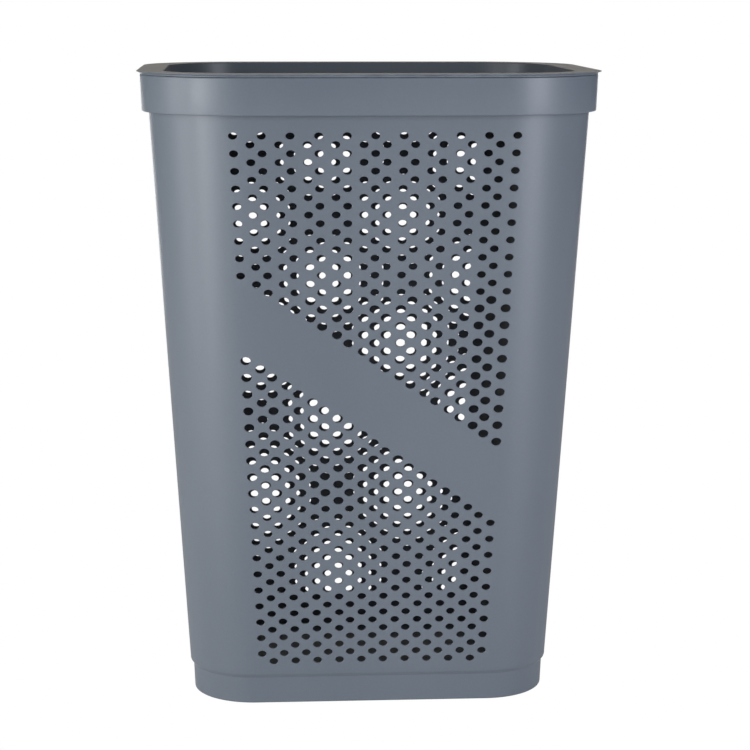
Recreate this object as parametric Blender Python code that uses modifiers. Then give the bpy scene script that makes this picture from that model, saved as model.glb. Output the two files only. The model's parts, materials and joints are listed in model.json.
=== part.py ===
"""Laundry hamper: a tapered moulded tub with a rolled-over rim, and a dished lid hinged at the back.

Metres, +Z up, front towards -Y. The origin is under the middle of the hamper, on the floor.
The air holes in the walls are left to the detailed surface: these walls are plain.
"""

import math

import bmesh
import bpy
from mathutils import Matrix, Vector

# Overall sizes
HEIGHT = 0.609
GAP = 0.0003

# Tapered wall of the tub, outside sizes at the rim band's lower edge and at the foot
WALL_TOP_WIDTH = 0.4182
WALL_TOP_DEPTH = 0.3542
WALL_FOOT_WIDTH = 0.3538
WALL_FOOT_DEPTH = 0.2606
CORNER_TOP = 0.094
CORNER_FOOT = 0.065
TUB_WALL = 0.0020

# Foot, set in from the wall, and the floor raised off the ground inside it
FOOT_HEIGHT = 0.028
FOOT_STEP_HEIGHT = 0.002
FOOT_INSET = 0.003
FOOT_DRAFT = 0.001
FOOT_RING_WIDTH = 0.014
FLOOR_RAISE = 0.004

# Rim band: the wall rolled outwards and down
BAND_HEIGHT = 0.0343
BAND_PROUD = 0.0079

# Lid: flange round a sunken panel, on a skirt that stands on the rim, with a thin lip outside it
LIP_HEIGHT = 0.003
LIP_FLARE = 0.0033
LIP_ROOT = 0.0018
LIP_TIP = 0.0008
FLANGE_WIDTH = 0.026
DISH_DEPTH = 0.022
DISH_DRAFT = 0.004
LID_WALL = 0.0023

# Hinges at the back
HINGE_SPACING = 0.200
BARREL_RADIUS = 0.005
BARREL_LENGTH = 0.018
EAR_THICKNESS = 0.004
SIDE_CLEARANCE = 0.0005
AXIS_BEHIND_BAND = 0.0085
AXIS_BELOW_RIM = 0.0067
EAR_ROOT = 0.0012
PIN_RADIUS = 0.002
PIN_HEAD_RADIUS = 0.0036
PIN_HEAD_LENGTH = 0.002
PIN_TAIL = 0.001
OPEN_ANGLE = math.radians(105.0)
HEEL_LENGTH = 0.0105
HEEL_WIDTH = 0.003

# How finely round shapes are cut
CORNER_STEPS = 10
ROUND_SIDES = 24

# Places worked out from the sizes above
RIM_TOP = HEIGHT - LIP_HEIGHT - GAP
BAND_FOOT = RIM_TOP - BAND_HEIGHT
WALL_FOOT = FOOT_HEIGHT + FOOT_STEP_HEIGHT
BAND_HALF_WIDTH = WALL_TOP_WIDTH / 2 + BAND_PROUD
BAND_HALF_DEPTH = WALL_TOP_DEPTH / 2 + BAND_PROUD
BAND_CORNER = CORNER_TOP + BAND_PROUD
AXIS_Y = BAND_HALF_DEPTH + AXIS_BEHIND_BAND
AXIS_Z = RIM_TOP - AXIS_BELOW_RIM

BLUE_GREY = (0.135, 0.160, 0.195)
SATIN = 0.42


def clear_scene():
    for obj in list(bpy.data.objects):
        bpy.data.objects.remove(obj, do_unlink=True)


def make_collection(name):
    collection = bpy.data.collections.new(name)
    bpy.context.scene.collection.children.link(collection)
    return collection


def make_material(name, colour, roughness):
    material = bpy.data.materials.new(name)
    material.use_nodes = True
    shader = material.node_tree.nodes["Principled BSDF"]
    shader.inputs["Base Color"].default_value = (*colour, 1.0)
    shader.inputs["Roughness"].default_value = roughness
    shader.inputs["Metallic"].default_value = 0.0
    return material


def add_object(name, bm, collection, material=None):
    mesh = bpy.data.meshes.new(name)
    bm.to_mesh(mesh)
    bm.free()
    mesh.shade_smooth()
    mesh.set_sharp_from_angle(angle=math.radians(30.0))
    if material:
        mesh.materials.append(material)
    obj = bpy.data.objects.new(name, mesh)
    collection.objects.link(obj)
    return obj


def rounded_rectangle(half_width, half_depth, corner, z):
    """Points of a rounded rectangle at height z, anticlockwise seen from above."""
    points = []
    for quarter, (side_x, side_y) in enumerate(((1, 1), (-1, 1), (-1, -1), (1, -1))):
        centre_x = side_x * (half_width - corner)
        centre_y = side_y * (half_depth - corner)
        for step in range(CORNER_STEPS + 1):
            angle = math.pi / 2 * (quarter + step / CORNER_STEPS)
            x = centre_x + corner * math.cos(angle)
            y = centre_y + corner * math.sin(angle)
            points.append(Vector((x, y, z)))
    return points


def grown(section, by, z):
    """The same rounded rectangle, larger all round by one amount, at another height."""
    half_width, half_depth, corner = section
    return rounded_rectangle(half_width + by, half_depth + by, corner + by, z)


def wall_section(z):
    """Half width, half depth and corner radius of the tapered wall's outside at height z."""
    share = (z - WALL_FOOT) / (BAND_FOOT - WALL_FOOT)

    def between(foot, top):
        return foot + (top - foot) * share

    half_width = between(WALL_FOOT_WIDTH, WALL_TOP_WIDTH) / 2
    half_depth = between(WALL_FOOT_DEPTH, WALL_TOP_DEPTH) / 2
    return half_width, half_depth, between(CORNER_FOOT, CORNER_TOP)


def loft(rings, closed=False):
    """A skin through rings of equal length, closed over the first ring or over both ends.

    An open skin's faces point down, and outwards where the rings climb.
    """
    bm = bmesh.new()
    loops = [[bm.verts.new(point) for point in ring] for ring in rings]
    bm.faces.new(reversed(loops[0]))
    for lower, upper in zip(loops, loops[1:]):
        count = len(lower)
        for i in range(count):
            j = (i + 1) % count
            bm.faces.new((lower[i], lower[j], upper[j], upper[i]))
    if closed:
        bm.faces.new(loops[-1])
        bmesh.ops.recalc_face_normals(bm, faces=bm.faces)
    return bm


def thicken(obj, thickness):
    """Gives an open skin its wall, on the inner side."""
    modifier = obj.modifiers.new("wall", "SOLIDIFY")
    modifier.thickness = thickness
    modifier.offset = -1.0
    modifier.use_even_offset = True


def combine(obj, other, operation):
    modifier = obj.modifiers.new(other.name, "BOOLEAN")
    modifier.operation = operation
    modifier.object = other
    modifier.solver = "EXACT"


def as_helper(obj):
    obj.hide_render = True
    obj.display_type = "WIRE"
    return obj


def plate(name, outline, low_x, high_x, collection):
    """A flat plate across X, from an outline of (y, z) points."""
    bm = bmesh.new()
    face = bm.faces.new([bm.verts.new((low_x, y, z)) for y, z in outline])
    extruded = bmesh.ops.extrude_face_region(bm, geom=[face])
    moved = [item for item in extruded["geom"] if isinstance(item, bmesh.types.BMVert)]
    bmesh.ops.translate(bm, verts=moved, vec=(high_x - low_x, 0.0, 0.0))
    bmesh.ops.recalc_face_normals(bm, faces=bm.faces)
    return add_object(name, bm, collection)


def rod(bm, radius, low_x, high_x):
    """A round bar along X, centred on the hinge axis."""
    made = bmesh.ops.create_cone(
        bm,
        cap_ends=True,
        segments=ROUND_SIDES,
        radius1=radius,
        radius2=radius,
        depth=high_x - low_x,
    )
    bmesh.ops.rotate(bm, verts=made["verts"], cent=(0, 0, 0), matrix=quarter_turn())
    middle = ((low_x + high_x) / 2, AXIS_Y, AXIS_Z)
    bmesh.ops.translate(bm, verts=made["verts"], vec=middle)


def quarter_turn():
    """Turns the Z axis onto the X axis."""
    return Vector((0.0, 0.0, 1.0)).rotation_difference(Vector((1.0, 0.0, 0.0))).to_matrix()


def arc(radius, start, end, steps):
    """Points (y, z) round the hinge axis; an angle of 0 points to the back."""
    points = []
    for step in range(steps + 1):
        angle = start + (end - start) * step / steps
        points.append((AXIS_Y + radius * math.cos(angle), AXIS_Z + radius * math.sin(angle)))
    return points


def ear_outline():
    """A lug with a round end, rooted in the band's outer face."""
    root = BAND_HALF_DEPTH - EAR_ROOT
    top = (root, AXIS_Z + BARREL_RADIUS)
    bottom = (root, AXIS_Z - BARREL_RADIUS - AXIS_BEHIND_BAND)
    return [top, bottom] + arc(BARREL_RADIUS, -math.pi / 4, math.pi / 2, ROUND_SIDES // 3)


def heel_angle():
    """Rest direction of the heel whose tip meets the band when the lid stands fully open."""
    reach = AXIS_BEHIND_BAND - GAP
    lead = math.acos(reach / math.hypot(HEEL_LENGTH, HEEL_WIDTH / 2))
    lead += math.atan2(HEEL_WIDTH / 2, HEEL_LENGTH)
    return OPEN_ANGLE - math.pi + lead


def knuckle_outline():
    """The lid's arm and barrel: it leaves the skirt's outer face and drops behind the rim."""
    low = RIM_TOP + 2 * GAP
    high = HEIGHT - 2 * GAP
    root = BAND_HALF_DEPTH - LID_WALL / 2
    front = AXIS_Y - BARREL_RADIUS
    under_lip = BAND_HALF_DEPTH + LIP_FLARE / 2
    arm = [(under_lip, high), (root, high), (root, low), (front, low)]
    barrel_steps = ROUND_SIDES * 5 // 8
    return arm + arc(BARREL_RADIUS, math.pi, 9 / 4 * math.pi, barrel_steps)


def heel_outline():
    """A bar from the hinge axis out to the heel's tip."""
    angle = heel_angle()
    along = Vector((math.cos(angle), math.sin(angle)))
    across = Vector((-along.y, along.x)) * HEEL_WIDTH / 2
    centre = Vector((AXIS_Y, AXIS_Z))
    inner = centre + along * (PIN_RADIUS + BARREL_RADIUS) / 2
    tip = centre + along * HEEL_LENGTH
    return [tuple(inner - across), tuple(tip - across), tuple(tip + across), tuple(inner + across)]


def hinge_centres():
    return (("left", -HINGE_SPACING / 2), ("right", HINGE_SPACING / 2))


def add_bore(obj, label, centre_x, reach, helpers):
    """Cuts the hinge pin's hole through a piece."""
    bm = bmesh.new()
    rod(bm, PIN_RADIUS + GAP, centre_x - reach, centre_x + reach)
    cutter = as_helper(add_object(f"{obj.name}_bore_{label}", bm, helpers))
    cutter.parent = obj.parent
    combine(obj, cutter, "DIFFERENCE")


def make_tub(collection, helpers, material, origin):
    """One moulding: floor, foot, tapered wall, rolled rim band and four hinge ears."""
    foot = wall_section(WALL_FOOT)
    under_rim = RIM_TOP - TUB_WALL
    wall_top = wall_section(under_rim)
    band_inside = BAND_PROUD - TUB_WALL
    band = (WALL_TOP_WIDTH / 2, WALL_TOP_DEPTH / 2, CORNER_TOP)
    ring_inner = -FOOT_INSET - FOOT_DRAFT - FOOT_RING_WIDTH
    rings = [
        grown(foot, ring_inner - FLOOR_RAISE, FLOOR_RAISE),
        grown(foot, ring_inner, 0.0),
        grown(foot, -FOOT_INSET - FOOT_DRAFT, 0.0),
        grown(foot, -FOOT_INSET, FOOT_HEIGHT),
        grown(foot, 0.0, WALL_FOOT),
        grown(wall_top, 0.0, under_rim),
        grown(band, band_inside, under_rim),
        grown(band, band_inside, BAND_FOOT),
    ]
    tub = add_object("tub", loft(rings), collection, material)
    tub.parent = origin
    thicken(tub, TUB_WALL)
    inside = BARREL_LENGTH / 2 + SIDE_CLEARANCE
    outside = inside + EAR_THICKNESS
    for label, centre in hinge_centres():
        for side, low, high in (("a", -outside, -inside), ("b", inside, outside)):
            name = f"ear_{label}_{side}"
            ear = plate(name, ear_outline(), centre + low, centre + high, helpers)
            ear.parent = origin
            combine(tub, as_helper(ear), "UNION")
        add_bore(tub, label, centre, 2 * outside, helpers)
    return tub


def make_lid(collection, helpers, material, origin):
    """One moulding: sunken panel, dish wall, flange, skirt, thin lip and two hinge knuckles."""
    lip = (BAND_HALF_WIDTH, BAND_HALF_DEPTH, BAND_CORNER)
    dish = LIP_FLARE - FLANGE_WIDTH
    panel = dish - DISH_DRAFT
    skirt_foot = RIM_TOP + GAP
    rings = [
        grown(lip, panel, HEIGHT - DISH_DEPTH),
        grown(lip, dish, HEIGHT),
        grown(lip, LIP_FLARE, HEIGHT),
        grown(lip, LIP_FLARE, HEIGHT - LIP_TIP),
        grown(lip, 0.0, HEIGHT - LIP_ROOT),
        grown(lip, 0.0, skirt_foot),
        grown(lip, -LID_WALL, skirt_foot),
        grown(lip, -LID_WALL, HEIGHT - LID_WALL),
        grown(lip, dish + LID_WALL, HEIGHT - LID_WALL),
        grown(lip, panel + LID_WALL, HEIGHT - DISH_DEPTH - LID_WALL),
    ]
    lid = add_object("lid", loft(rings, closed=True), collection, material)
    hinge = Vector((0.0, AXIS_Y, AXIS_Z))
    lid.data.transform(Matrix.Translation(-hinge))
    lid.location = hinge
    lid.parent = origin
    half = BARREL_LENGTH / 2
    for label, centre in hinge_centres():
        for name, outline in (("knuckle", knuckle_outline()), ("heel", heel_outline())):
            piece = plate(f"{name}_{label}", outline, centre - half, centre + half, helpers)
            piece.parent = origin
            combine(lid, as_helper(piece), "UNION")
        add_bore(lid, label, centre, BARREL_LENGTH, helpers)
    return lid


def make_pin(label, centre, collection, material, origin):
    """A headed pin through both ears and the knuckle; its head is on the outer side."""
    half = BARREL_LENGTH / 2 + SIDE_CLEARANCE + EAR_THICKNESS
    outward = math.copysign(1.0, centre)
    tail = centre - outward * (half + PIN_TAIL)
    shoulder = centre + outward * (half + GAP)
    head = shoulder + outward * PIN_HEAD_LENGTH
    profile = ((tail, PIN_RADIUS), (shoulder, PIN_RADIUS), (shoulder, PIN_HEAD_RADIUS))
    profile += ((head, PIN_HEAD_RADIUS),)
    bm = bmesh.new()
    rings = []
    for x, radius in profile:
        ring = []
        for y, z in arc(radius, 0.0, 2 * math.pi, ROUND_SIDES)[:-1]:
            ring.append(bm.verts.new((x, y, z)))
        rings.append(ring)
    for low, high in zip(rings, rings[1:]):
        for i in range(ROUND_SIDES):
            j = (i + 1) % ROUND_SIDES
            bm.faces.new((low[i], low[j], high[j], high[i]))
    bm.faces.new(rings[0])
    bm.faces.new(rings[-1])
    bmesh.ops.recalc_face_normals(bm, faces=bm.faces)
    pin = add_object(f"hinge_pin_{label}", bm, collection, material)
    pin.parent = origin
    return pin


def main():
    clear_scene()
    collection = make_collection("laundry_hamper")
    helpers = make_collection("cutters")
    helpers.hide_render = True
    front = BAND_HALF_DEPTH + LIP_FLARE
    back = max(y for y, _ in heel_outline())
    origin = bpy.data.objects.new("hamper_origin", None)
    origin.location = (0.0, (front - back) / 2, 0.0)
    collection.objects.link(origin)
    tub_plastic = make_material("tub_plastic", BLUE_GREY, SATIN)
    lid_plastic = make_material("lid_plastic", BLUE_GREY, SATIN)
    pin_plastic = make_material("pin_plastic", BLUE_GREY, SATIN)
    make_tub(collection, helpers, tub_plastic, origin)
    make_lid(collection, helpers, lid_plastic, origin)
    for label, centre in hinge_centres():
        make_pin(label, centre, collection, pin_plastic, origin)


main()
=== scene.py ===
# %% [markdown]
# # A laundry hamper with a hinged lid
# The hamper is four moulded pieces of satin blue-grey polypropylene: a tapered tub full of air
# holes, a dished lid, and two pins that hinge the lid to ears behind the rim. Plain solids of
# the four pieces are loaded first as a frame. Every detailed piece below is then built in the
# same place and hung on the frame's bodies, so that the lid still opens.

# %% Load the frame
import json
import math

import bmesh
import bpy
from mathutils import Matrix, Vector
from mathutils.geometry import tessellate_polygon


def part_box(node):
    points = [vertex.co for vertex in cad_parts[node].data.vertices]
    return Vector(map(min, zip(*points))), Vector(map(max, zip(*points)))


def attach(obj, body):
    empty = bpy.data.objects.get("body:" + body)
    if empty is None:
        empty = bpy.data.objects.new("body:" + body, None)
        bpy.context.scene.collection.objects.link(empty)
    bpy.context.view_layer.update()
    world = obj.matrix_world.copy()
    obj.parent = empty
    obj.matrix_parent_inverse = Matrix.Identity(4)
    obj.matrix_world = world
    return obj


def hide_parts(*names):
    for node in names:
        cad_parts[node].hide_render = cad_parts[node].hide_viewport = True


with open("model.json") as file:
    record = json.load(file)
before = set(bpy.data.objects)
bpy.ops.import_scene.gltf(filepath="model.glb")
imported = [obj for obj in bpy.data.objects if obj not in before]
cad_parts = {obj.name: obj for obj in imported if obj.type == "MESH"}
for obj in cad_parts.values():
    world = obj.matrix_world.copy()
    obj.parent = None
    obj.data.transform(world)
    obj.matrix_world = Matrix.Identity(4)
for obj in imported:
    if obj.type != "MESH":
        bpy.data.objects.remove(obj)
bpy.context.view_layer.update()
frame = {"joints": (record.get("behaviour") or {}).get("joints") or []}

# %% [markdown]
# ## Sizes
# The frame gives the rim, the lid and the hinge axis. The other sizes are the mould's own:
# wall thickness, draft and corner radii. A section is (half width, half depth, corner radius)
# of the outside at one height. All are in metres.

# %% Sizes from the frame and from the mould
tub_low, tub_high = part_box("tub")
_, lid_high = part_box("lid")
hinge_axis = Vector(frame["joints"][0]["pos_m"])

GAP = 0.0003
AXIS_BEHIND_BAND = 0.0085
HEIGHT = lid_high.z
RIM_TOP = tub_high.z
BAND_HALF_WIDTH = tub_high.x
LIP_FLARE = lid_high.x - tub_high.x
BAND_REAR = hinge_axis.y - AXIS_BEHIND_BAND
BAND_HALF_DEPTH = (BAND_REAR - tub_low.y) / 2
MIDDLE_Y = (BAND_REAR + tub_low.y) / 2

TUB_WALL = 0.0020
BAND_PROUD = 0.0079
BAND_HEIGHT = 0.0343
BAND_DRAFT = 0.0012
BAND_FOOT = RIM_TOP - BAND_HEIGHT
WALL_FOOT = 0.0305
CORNER_TOP = 0.094
CORNER_STEPS = 20
FOOT_SECTION = (0.1769, 0.1303, 0.065)
TOP_SECTION = (BAND_HALF_WIDTH - BAND_PROUD, BAND_HALF_DEPTH - BAND_PROUD, CORNER_TOP)
RIM_SECTION = (BAND_HALF_WIDTH, BAND_HALF_DEPTH, CORNER_TOP + BAND_PROUD)
print("tub middle y", round(MIDDLE_Y, 4), "hinge axis", tuple(hinge_axis))

# %% [markdown]
# ## Collecting points and faces
# The tub is one closed skin, but it is easiest to make in patches: a perforated panel here, a
# rounded corner there. `Skin` gives the same vertex for the same point, so neighbouring
# patches are sewn together as they are made.

# %% A skin that sews its patches together
STITCH = 1e-6
SHARP_DEGREES = 34


def new_object(name, data):
    obj = bpy.data.objects.new(name, data)
    bpy.context.scene.collection.objects.link(obj)
    return obj


class Skin:
    """Points and faces of one closed piece."""

    def __init__(self):
        self.bm = bmesh.new()
        self.known = {}

    def vertex(self, point):
        key = tuple(round(value / STITCH) for value in point)
        if key not in self.known:
            self.known[key] = self.bm.verts.new(point)
        return self.known[key]

    def face(self, points):
        corners = []
        for point in points:
            vertex = self.vertex(point)
            if vertex not in corners:
                corners.append(vertex)
        if len(corners) > 2:
            self.bm.faces.new(corners)

    def strip(self, low, high, closed=False):
        """Quads between two rows with the same number of points."""
        last = len(low) if closed else len(low) - 1
        for i in range(last):
            j = (i + 1) % len(low)
            self.face((low[i], low[j], high[j], high[i]))

    def zip_rows(self, row_a, marks_a, row_b, marks_b):
        """Triangles between two rows whose points lie at different marks along the way."""
        marks_a = [*marks_a, math.inf]
        marks_b = [*marks_b, math.inf]
        i = j = 0
        while marks_a[i + 1] < math.inf or marks_b[j + 1] < math.inf:
            if marks_a[i + 1] <= marks_b[j + 1]:
                self.face((row_a[i], row_a[i + 1], row_b[j]))
                i += 1
            else:
                self.face((row_a[i], row_b[j + 1], row_b[j]))
                j += 1

    def zip_loops(self, loop_a, loop_b, turn):
        """The same between two closed loops of (mark, point); a full turn adds `turn` marks."""
        rows = []
        for loop in (loop_a, loop_b):
            ordered = sorted((mark % turn, i, point) for i, (mark, point) in enumerate(loop))
            marks = [mark for mark, _, _ in ordered]
            points = [point for _, _, point in ordered]
            rows += [points + points[:1], marks + [marks[0] + turn]]
        self.zip_rows(*rows)

    def finish(self, name):
        bmesh.ops.remove_doubles(self.bm, verts=self.bm.verts, dist=STITCH / 2)
        bmesh.ops.recalc_face_normals(self.bm, faces=self.bm.faces)
        mesh = bpy.data.meshes.new(name)
        self.bm.to_mesh(mesh)
        open_edges = sum(1 for edge in self.bm.edges if not edge.is_manifold)
        self.bm.free()
        mesh.shade_smooth()
        mesh.set_sharp_from_angle(angle=math.radians(SHARP_DEGREES))
        triangles = sum(len(polygon.vertices) - 2 for polygon in mesh.polygons)
        print(name, "triangles", triangles, "open edges", open_edges)
        return new_object(name, mesh)


print("a skin sews points closer than", STITCH, "m")

# %% [markdown]
# ## Rounded rectangles
# Every level of the hamper is a rectangle with round corners. One function gives the tapered
# wall's section at any height. Another turns a section into an outline, grown by one amount
# all round, which is how wall thickness, lips and fillets are made.

# %% Outlines at any height
QUARTERS = ((1, 1), (-1, 1), (-1, -1), (1, -1))


def wall_section(z):
    """The tapered wall's section at height z, between those at its foot and under the band."""
    share = (z - WALL_FOOT) / (BAND_FOOT - WALL_FOOT)
    return tuple(foot + (top - foot) * share for foot, top in zip(FOOT_SECTION, TOP_SECTION))


def outline(section, grow, z):
    """Four corner arcs, anticlockwise from above, starting at the right-hand back corner."""
    half_width, half_depth, corner = (size + grow for size in section)
    arcs = []
    for quarter, (side_x, side_y) in enumerate(QUARTERS):
        centre_x = side_x * (half_width - corner)
        centre_y = side_y * (half_depth - corner) + MIDDLE_Y
        arc = []
        for step in range(CORNER_STEPS + 1):
            angle = math.pi / 2 * (quarter + step / CORNER_STEPS)
            x = centre_x + corner * math.cos(angle)
            y = centre_y + corner * math.sin(angle)
            arc.append(Vector((x, y, z)))
        arcs.append(arc)
    return arcs


def joined(arcs):
    return [point for arc in arcs for point in arc]


print("wall at the foot", FOOT_SECTION, "and at the band", wall_section(BAND_FOOT))

# %% [markdown]
# ## Rounding a profile
# The edges are rounded as real geometry, so that they catch the light. A profile is a list of
# (grow, height) pairs, and a fillet is a short arc of them.

# %% Fillets for profiles


def fillet(centre, radius, start, end, steps):
    """Points (grow, z) round a corner of a profile, by angle in degrees."""
    points = []
    for step in range(steps + 1):
        angle = math.radians(start + (end - start) * step / steps)
        points.append((centre[0] + radius * math.cos(angle), centre[1] + radius * math.sin(angle)))
    return points


print("a quarter round of 4 mm", len(fillet((0.0, 0.0), 0.004, 0, 90, 4)), "points")

# %% [markdown]
# ## The air-hole pattern
# The holes are ellipses, wider than tall, in columns that are staggered by half a row. The
# columns close up towards the foot with the wall, and the lowest rows arch a little. The front
# leaves out a broad diagonal stripe. Two thousand Boolean cuts would be slow and ragged, so
# each hole gets a cell of its own, and a panel is laid like a wall of bricks.

# %% Hole spacing
ROWS = 64
ROW_STEP = 0.00808
TOP_ROW_Z = 0.55296
COLUMN_STEP_TOP = 0.01301
COLUMN_STEP_GROUND = 0.01041
ODD_COLUMN_SHIFT = 0.00241
LOW_BOW = 0.0006
LOW_BOW_ROWS = (50, 58)
BACK_DROP = 0.0014
BACK_SHIFT = -0.0006
BACK_GROW = 0.0002
HOLE_SMALL = (0.0042, 0.0032)
HOLE_LARGE = (0.0049, 0.0039)
LARGE_ROWS = range(19, 44)
HOLE_SIDES = 12
HOLE_EDGE = 0.00035
STRIPE = (18, 20, 22, 24)
FRONT_COLUMNS = 21
SIDE_COLUMNS = 13


def row_z(row):
    return TOP_ROW_Z - row * ROW_STEP


def column_shift(row):
    """How far odd columns stand nearer the middle: all of it at the top, none at the ground."""
    return ODD_COLUMN_SHIFT * row_z(row) / TOP_ROW_Z


def column_step(row):
    share = row_z(row) / TOP_ROW_Z
    return COLUMN_STEP_GROUND + (COLUMN_STEP_TOP - COLUMN_STEP_GROUND) * share


def hole_centre(column, row, columns):
    """Distance along the wall from its middle line."""
    place = column - (columns - 1) / 2
    along = place * column_step(row)
    if round(place) % 2:
        along -= math.copysign(column_shift(row), place)
    return along


def row_bow(row, along):
    """How far the lowest rows arch up in the middle of a wall and sag at its ends."""
    first, last = LOW_BOW_ROWS
    share = min(max((row - first) / (last - first), 0.0), 1.0)
    end = column_step(row) * FRONT_COLUMNS / 2
    return LOW_BOW * share * (1 - 2 * (along / end) ** 2)


def cell_line(line, row, columns):
    """The joint between two columns of cells, halfway between their holes."""
    place = line - columns / 2
    along = abs(place) * column_step(row) - column_shift(row) / 2
    return math.copysign(along, place)


print("rows", ROWS, "from z", row_z(0), "down to", round(row_z(ROWS - 1), 4))

# %% [markdown]
# ## One perforated wall
# A wall is flat, leans out, and bends into the corners at its ends. `Wall` turns a place on it
# (along, height, depth into the plastic) into a point, so the same code makes front, back and
# sides. The back's holes are a touch larger and lower than the front's.

# %% A wall as a place to put holes


class Wall:
    """One flat side of the tub; side 0 is the back, 1 the left, 2 the front, 3 the right."""

    def __init__(self, side, columns, stripe, offset=(0.0, 0.0), grow=0.0):
        self.side = side
        self.columns = columns
        self.stripe = stripe
        self.offset = offset
        self.grow = grow
        turn = math.pi / 2 * side
        self.outward = Vector((-round(math.sin(turn)), round(math.cos(turn)), 0))
        self.across = Vector((-round(math.cos(turn)), -round(math.sin(turn)), 0))

    def point(self, along, z, depth):
        half_width, half_depth, corner = wall_section(z)
        facing, sideways = (half_depth, half_width)
        if self.side % 2:
            facing, sideways = (half_width, half_depth)
        bent = max(0.0, abs(along) - (sideways - corner))
        distance = facing - corner + math.sqrt((corner - depth) ** 2 - bent**2)
        place = self.outward * distance + self.across * along
        return Vector((place.x, place.y + MIDDLE_Y, z))

    def grid(self, line, row, depth):
        return self.point(cell_line(line, row, self.columns), row_z(row), depth)

    def has_hole(self, column, row):
        return not (self.stripe and row - column in STRIPE)


print("the front faces", tuple(Wall(2, FRONT_COLUMNS, True).outward))

# %% [markdown]
# ## One hole and its cell
# The rim of the hole is an ellipse, and the cell round it has six points. `fill_cell` fans
# triangles between the two by their angle round the hole's middle.

# %% Cells with and without a hole


def ellipse(wall, centre, half_sizes, depth):
    points = []
    for step in range(HOLE_SIDES):
        angle = 2 * math.pi * step / HOLE_SIDES
        u = centre[0] + half_sizes[0] * math.cos(angle)
        v = centre[1] + half_sizes[1] * math.sin(angle)
        points.append((angle, wall.point(u, v, depth)))
    return points


def fill_cell(skin, wall, column, row, centre, rim, depth):
    """Triangles between a hole's rim and the six grid points of its cell."""
    along, z = centre
    corners = []
    for line, level in ((0, -1), (0, 0), (0, 1), (1, 1), (1, 0), (1, -1)):
        point = wall.grid(column + line, row + level, depth)
        u = cell_line(column + line, row + level, wall.columns) - along
        v = row_z(row + level) - z
        corners.append((math.atan2(v, u) % (2 * math.pi), point))
    skin.zip_loops(corners, rim, 2 * math.pi)


def make_hole(skin, wall, column, row):
    along = hole_centre(column, row, wall.columns) + wall.offset[0]
    centre = (along, row_z(row) + row_bow(row, along) + wall.offset[1])
    rims = []
    for chamfer, depth in ((HOLE_EDGE, 0.0), (0.0, HOLE_EDGE), (0.0, TUB_WALL)):
        grow = wall.grow + chamfer
        sizes = [size + grow for size in (HOLE_LARGE if row in LARGE_ROWS else HOLE_SMALL)]
        rims.append(ellipse(wall, centre, sizes, depth))
    fill_cell(skin, wall, column, row, centre, rims[0], 0.0)
    fill_cell(skin, wall, column, row, centre, rims[-1], TUB_WALL)
    rings = [[point for _, point in rim] for rim in rims]
    for outer, inner in zip(rings, rings[1:]):
        skin.strip(outer, inner, closed=True)


def plain_cell(skin, wall, column, top_row, bottom_row):
    for row in range(top_row, bottom_row):
        for depth in (0.0, TUB_WALL):
            left = [wall.grid(column, level, depth) for level in (row, row + 1)]
            right = [wall.grid(column + 1, level, depth) for level in (row, row + 1)]
            skin.strip(left, right)


print("triangles for each hole's walls", 4 * HOLE_SIDES)

# %% Lay the cells of a panel


def make_panel(skin, wall):
    """All cells of one wall. Even columns start one half row above odd ones."""
    holes = 0
    for column in range(wall.columns):
        odd = (column - (wall.columns - 1) // 2) % 2
        if odd:
            plain_cell(skin, wall, column, -1, 0)
        else:
            plain_cell(skin, wall, column, ROWS - 1, ROWS)
        for row in range(odd, ROWS, 2):
            if wall.has_hole(column, row):
                make_hole(skin, wall, column, row)
                holes += 1
            else:
                plain_cell(skin, wall, column, row - 1, row + 1)
    return holes


WALLS = [
    Wall(0, FRONT_COLUMNS, False, (BACK_SHIFT, -BACK_DROP), BACK_GROW),
    Wall(1, SIDE_COLUMNS, False),
    Wall(2, FRONT_COLUMNS, True),
    Wall(3, SIDE_COLUMNS, False),
]
print("cells in the front panel", FRONT_COLUMNS * ROWS // 2)

# %% [markdown]
# ## Marks along an outline
# The panels have many points and the plain corners few, so neighbouring rows don't match
# point for point. Each point gets a mark, its share of the way round: the outline counts 4,
# and each corner and each straight side takes a half. Rows are zipped by mark.

# %% Marks and the points that belong to them


def marked(arcs):
    """The points of an outline's arcs with their marks."""
    loop = []
    for quarter, arc in enumerate(arcs):
        for step, point in enumerate(arc):
            loop.append((quarter + step / CORNER_STEPS / 2, point))
    return loop


def mark_of(side, along, z, depth):
    """The mark of a place `along` one side, 0 being the side's middle."""
    section = wall_section(z)
    corner = section[2]
    flat = section[side % 2] - corner
    if abs(along) <= flat:
        return side + 0.75 + 0.25 * along / flat
    turn = math.asin((abs(along) - flat) / (corner - depth)) / math.pi
    return side + 1 + turn if along > 0 else side + 0.5 - turn


def wall_point(mark, z, depth):
    """A point of the wall's section at height z, from its mark and its depth in the wall."""
    half_width, half_depth, corner = wall_section(z)
    quarter, part = divmod(mark % 4, 1)
    side = int(quarter)
    if part > 0.5:
        flat = (half_width, half_depth)[side % 2] - corner
        return WALLS[side].point(flat * (part - 0.75) / 0.25, z, depth)
    side_x, side_y = QUARTERS[side]
    angle = math.pi / 2 * (quarter + 2 * part)
    x = side_x * (half_width - corner) + (corner - depth) * math.cos(angle)
    y = side_y * (half_depth - corner) + (corner - depth) * math.sin(angle)
    return Vector((x, y + MIDDLE_Y, z))


print("20 mm along the back is at mark", round(mark_of(0, 0.02, RIM_TOP / 2, 0.0), 3))

# %% [markdown]
# ## The rest of the tub
# Between the panels stand the big rounded corners. Below them is the foot, set in by a soft
# step, and above them the wall rolls over into the rim and hangs down outside as a band. The
# whole profile is a list of (grow, height) pairs, and each pair becomes one outline.

# %% Corners and the bands above and below the panels
ROWS_PER_LEVEL = 5


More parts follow.
